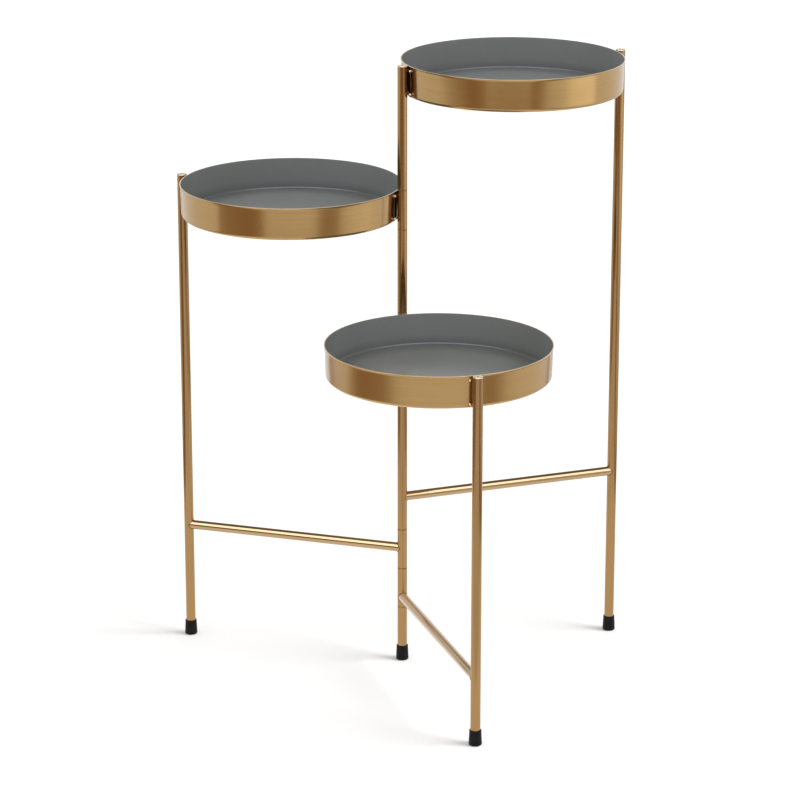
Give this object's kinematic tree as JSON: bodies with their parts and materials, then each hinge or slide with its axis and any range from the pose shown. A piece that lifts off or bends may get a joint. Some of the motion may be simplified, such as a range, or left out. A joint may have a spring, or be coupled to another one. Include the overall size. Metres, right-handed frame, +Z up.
{
  "type": "tiered plant stand",
  "caption": "Folding metal plant stand: round shallow trays at stepped heights between a shared post and slim tube legs that swing round the post.",
  "frame": {"origin": "on the floor under the middle of the post's rubber foot", "axes": "+Z up along the post; the picture is taken from the -Y side, with +X to its right"},
  "size_m": [0.5193, 0.438, 0.711],
  "materials": {
    "frame_metal": "brushed gold lacquered steel tube",
    "tray_metal": "brushed gold outside, matt slate grey paint inside",
    "rod_steel": "plain drawn steel",
    "foot_rubber": "satin black moulded rubber"
  },
  "bodies": {
    "high_frame": {"pivot_rod": "rod_steel", "base_tube": "frame_metal", "high_lower_sleeve": "frame_metal", "post_spacer_sleeve": "frame_metal", "high_upper_sleeve": "frame_metal", "post_plug": "frame_metal", "post_foot": "foot_rubber", "high_leg": "frame_metal", "high_leg_plug": "frame_metal", "high_leg_foot": "foot_rubber", "high_crossbar": "frame_metal", "high_tray": "tray_metal", "high_tray_pins": "frame_metal"},
    "middle_frame": {"middle_lower_sleeve": "frame_metal", "middle_upper_sleeve": "frame_metal", "middle_leg": "frame_metal", "middle_leg_plug": "frame_metal", "middle_leg_foot": "foot_rubber", "middle_crossbar": "frame_metal", "middle_tray": "tray_metal", "middle_tray_pins": "frame_metal"},
    "low_frame": {"low_lower_sleeve": "frame_metal", "low_upper_sleeve": "frame_metal", "low_leg": "frame_metal", "low_leg_plug": "frame_metal", "low_leg_foot": "foot_rubber", "low_crossbar": "frame_metal", "low_tray": "tray_metal", "low_tray_pins": "frame_metal"}
  },
  "joints": [
    {"name": "middle_frame_swing", "type": "hinge", "parent": "high_frame", "child": "middle_frame", "pos_m": [0, 0, 0], "axis": [0, 0, 1], "range_deg": [-136, 36]},
    {"name": "low_frame_swing", "type": "hinge", "parent": "high_frame", "child": "low_frame", "pos_m": [0, 0, 0], "axis": [0, 0, 1], "range_deg": [-85, 89]}
  ]
}
